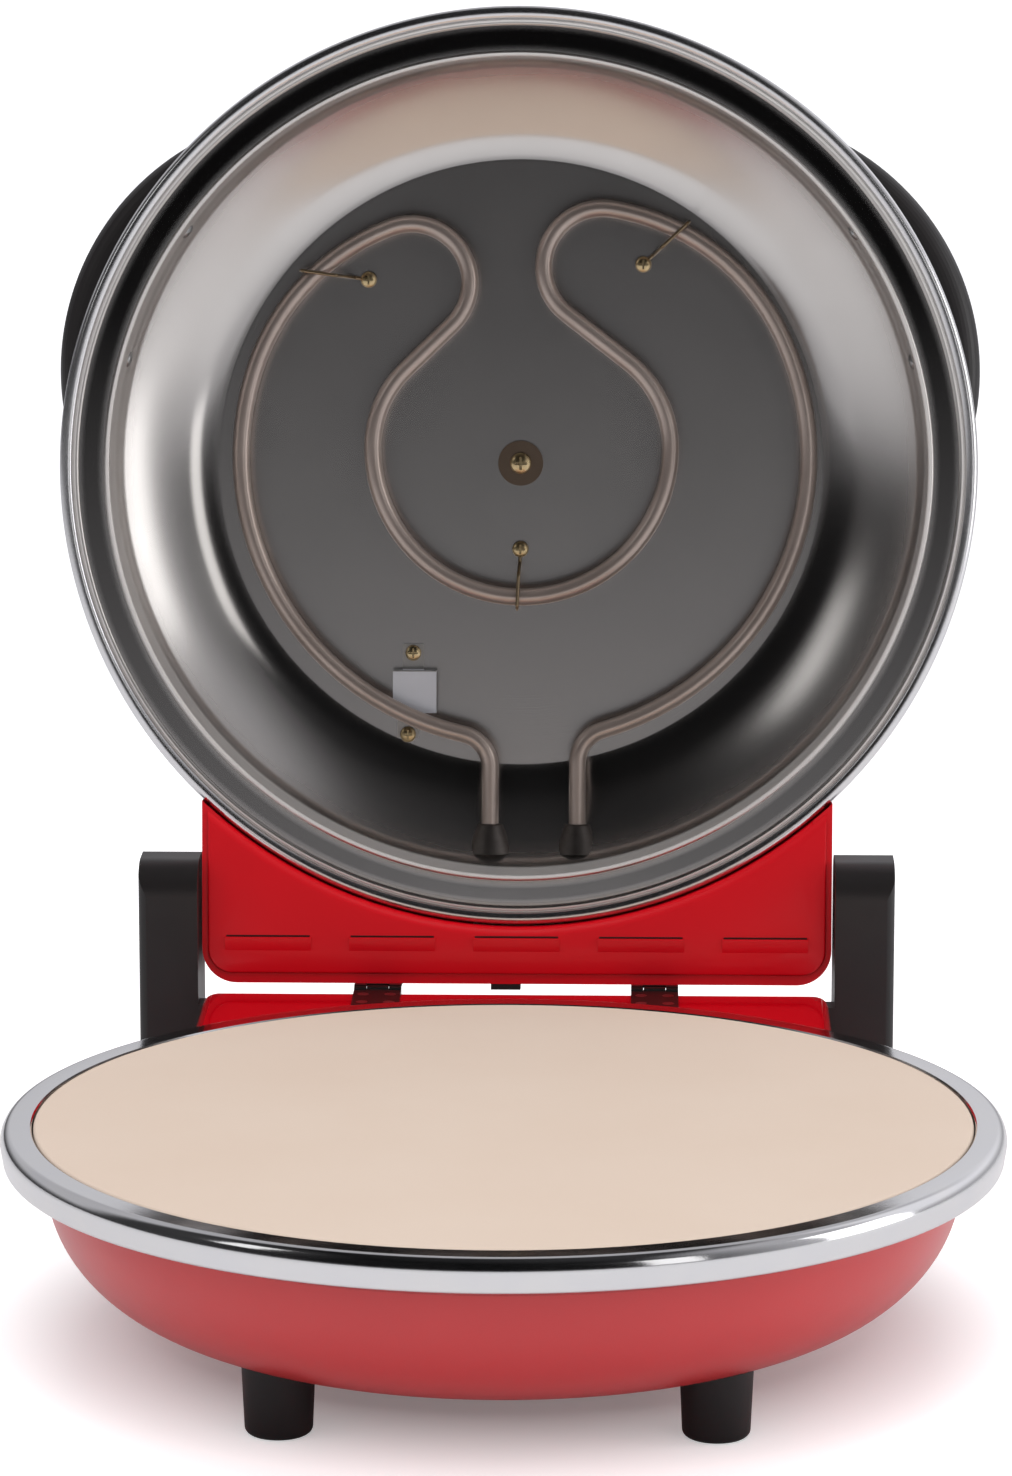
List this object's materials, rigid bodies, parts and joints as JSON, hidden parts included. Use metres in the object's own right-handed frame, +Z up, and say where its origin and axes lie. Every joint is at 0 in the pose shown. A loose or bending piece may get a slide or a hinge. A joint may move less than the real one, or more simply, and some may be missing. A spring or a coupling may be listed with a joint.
{
  "type": "electric pizza maker",
  "caption": "Round countertop pizza maker with a flush baking stone, shallow red bowl, bright rims, hinged domed lid with a heating element, side handles and a thermostat knob.",
  "frame": {"origin": "middle of the object's plan box with the lid open, at the underside of the feet", "axes": "+X towards the object's right seen from the front, +Y to the rear where the hinge is, +Z up"},
  "size_m": [0.343, 0.4742, 0.4408],
  "materials": {
    "red_paint": "gloss red stoved paint on pressed steel",
    "bright_steel": "polished bright rim",
    "reflector_steel": "spun bright steel",
    "element_steel": "heat-tinted steel sheath",
    "ceramic": "fired ceramic",
    "spring_wire": "straw-tinted wire",
    "inner_screws": "yellow-passivated steel",
    "post_steel": "zinc-plated steel",
    "cordierite": "fired cordierite, matt",
    "floor_steel": "black painted sheet",
    "plain_screws": "zinc-plated steel",
    "black_plastic": "fine satin moulding",
    "black_hinge": "black painted steel",
    "pin_steel": "plain steel",
    "gland_plastic": "moulded nylon",
    "terminal_ceramic": "steatite block",
    "black_rubber": "matt",
    "strap_steel": "bright sheet",
    "copper": "drawn copper",
    "thermostat_ceramic": "steatite body in a steel can, as one block",
    "dial_aluminium": "satin plate",
    "amber_lens": "clear amber lens",
    "brass_shaft": "turned",
    "white_mark": "white infill"
  },
  "bodies": {
    "base": {"base_shell": "red_paint", "base_rim": "bright_steel", "base_reflector": "reflector_steel", "base_element": "element_steel", "base_element_bushings": "ceramic", "base_element_clips": "spring_wire", "base_clip_screws": "inner_screws", "base_centre_post": "post_steel", "base_centre_screw": "inner_screws", "baking_stone": "cordierite", "base_housing": "red_paint", "base_housing_floor": "floor_steel", "floor_screws": "plain_screws", "rear_stand_left": "black_plastic", "rear_stand_right": "black_plastic", "stand_screws": "plain_screws", "front_foot_left": "black_plastic", "front_foot_right": "black_plastic", "foot_screws": "plain_screws", "hinge_base_leaf_left": "black_hinge", "hinge_base_leaf_right": "black_hinge", "hinge_pins": "pin_steel", "hinge_base_screws": "pin_steel", "cord_gland": "gland_plastic", "terminal_block": "terminal_ceramic"},
    "lid": {"lid_shell": "red_paint", "lid_rim": "bright_steel", "lid_reflector": "reflector_steel", "lid_element": "element_steel", "lid_element_bushings": "ceramic", "lid_element_clips": "spring_wire", "lid_clip_screws": "inner_screws", "lid_centre_post": "post_steel", "lid_centre_screw": "inner_screws", "lid_centre_washer": "inner_screws", "sensor_strap": "strap_steel", "strap_screws": "inner_screws", "sensor_bulb": "copper", "sensor_capillary": "copper", "lid_housing": "red_paint", "lid_housing_cover": "red_paint", "wiring_grommet": "black_rubber", "thermostat_body": "thermostat_ceramic", "dial_plate": "dial_aluminium", "pilot_lamp": "amber_lens", "handle_left": "black_plastic", "handle_right": "black_plastic", "handle_screws": "plain_screws", "hinge_lid_leaf_left": "black_hinge", "hinge_lid_leaf_right": "black_hinge", "hinge_lid_screws": "pin_steel"},
    "knob": {"thermostat_knob": "black_plastic", "thermostat_shaft": "brass_shaft", "knob_pointer": "white_mark"}
  },
  "joints": [
    {"name": "lid_hinge", "type": "hinge", "parent": "base", "child": "lid", "pos_m": [0, 0.12735, 0.0795], "axis": [1, 0, 0], "range_deg": [0, 96.4]},
    {"name": "thermostat_knob_turn", "type": "hinge", "parent": "lid", "child": "knob", "pos_m": [0, 0.18258, 0.09997], "axis": [0, 0.9938, -0.1115], "range_deg": [0, 270]}
  ]
}
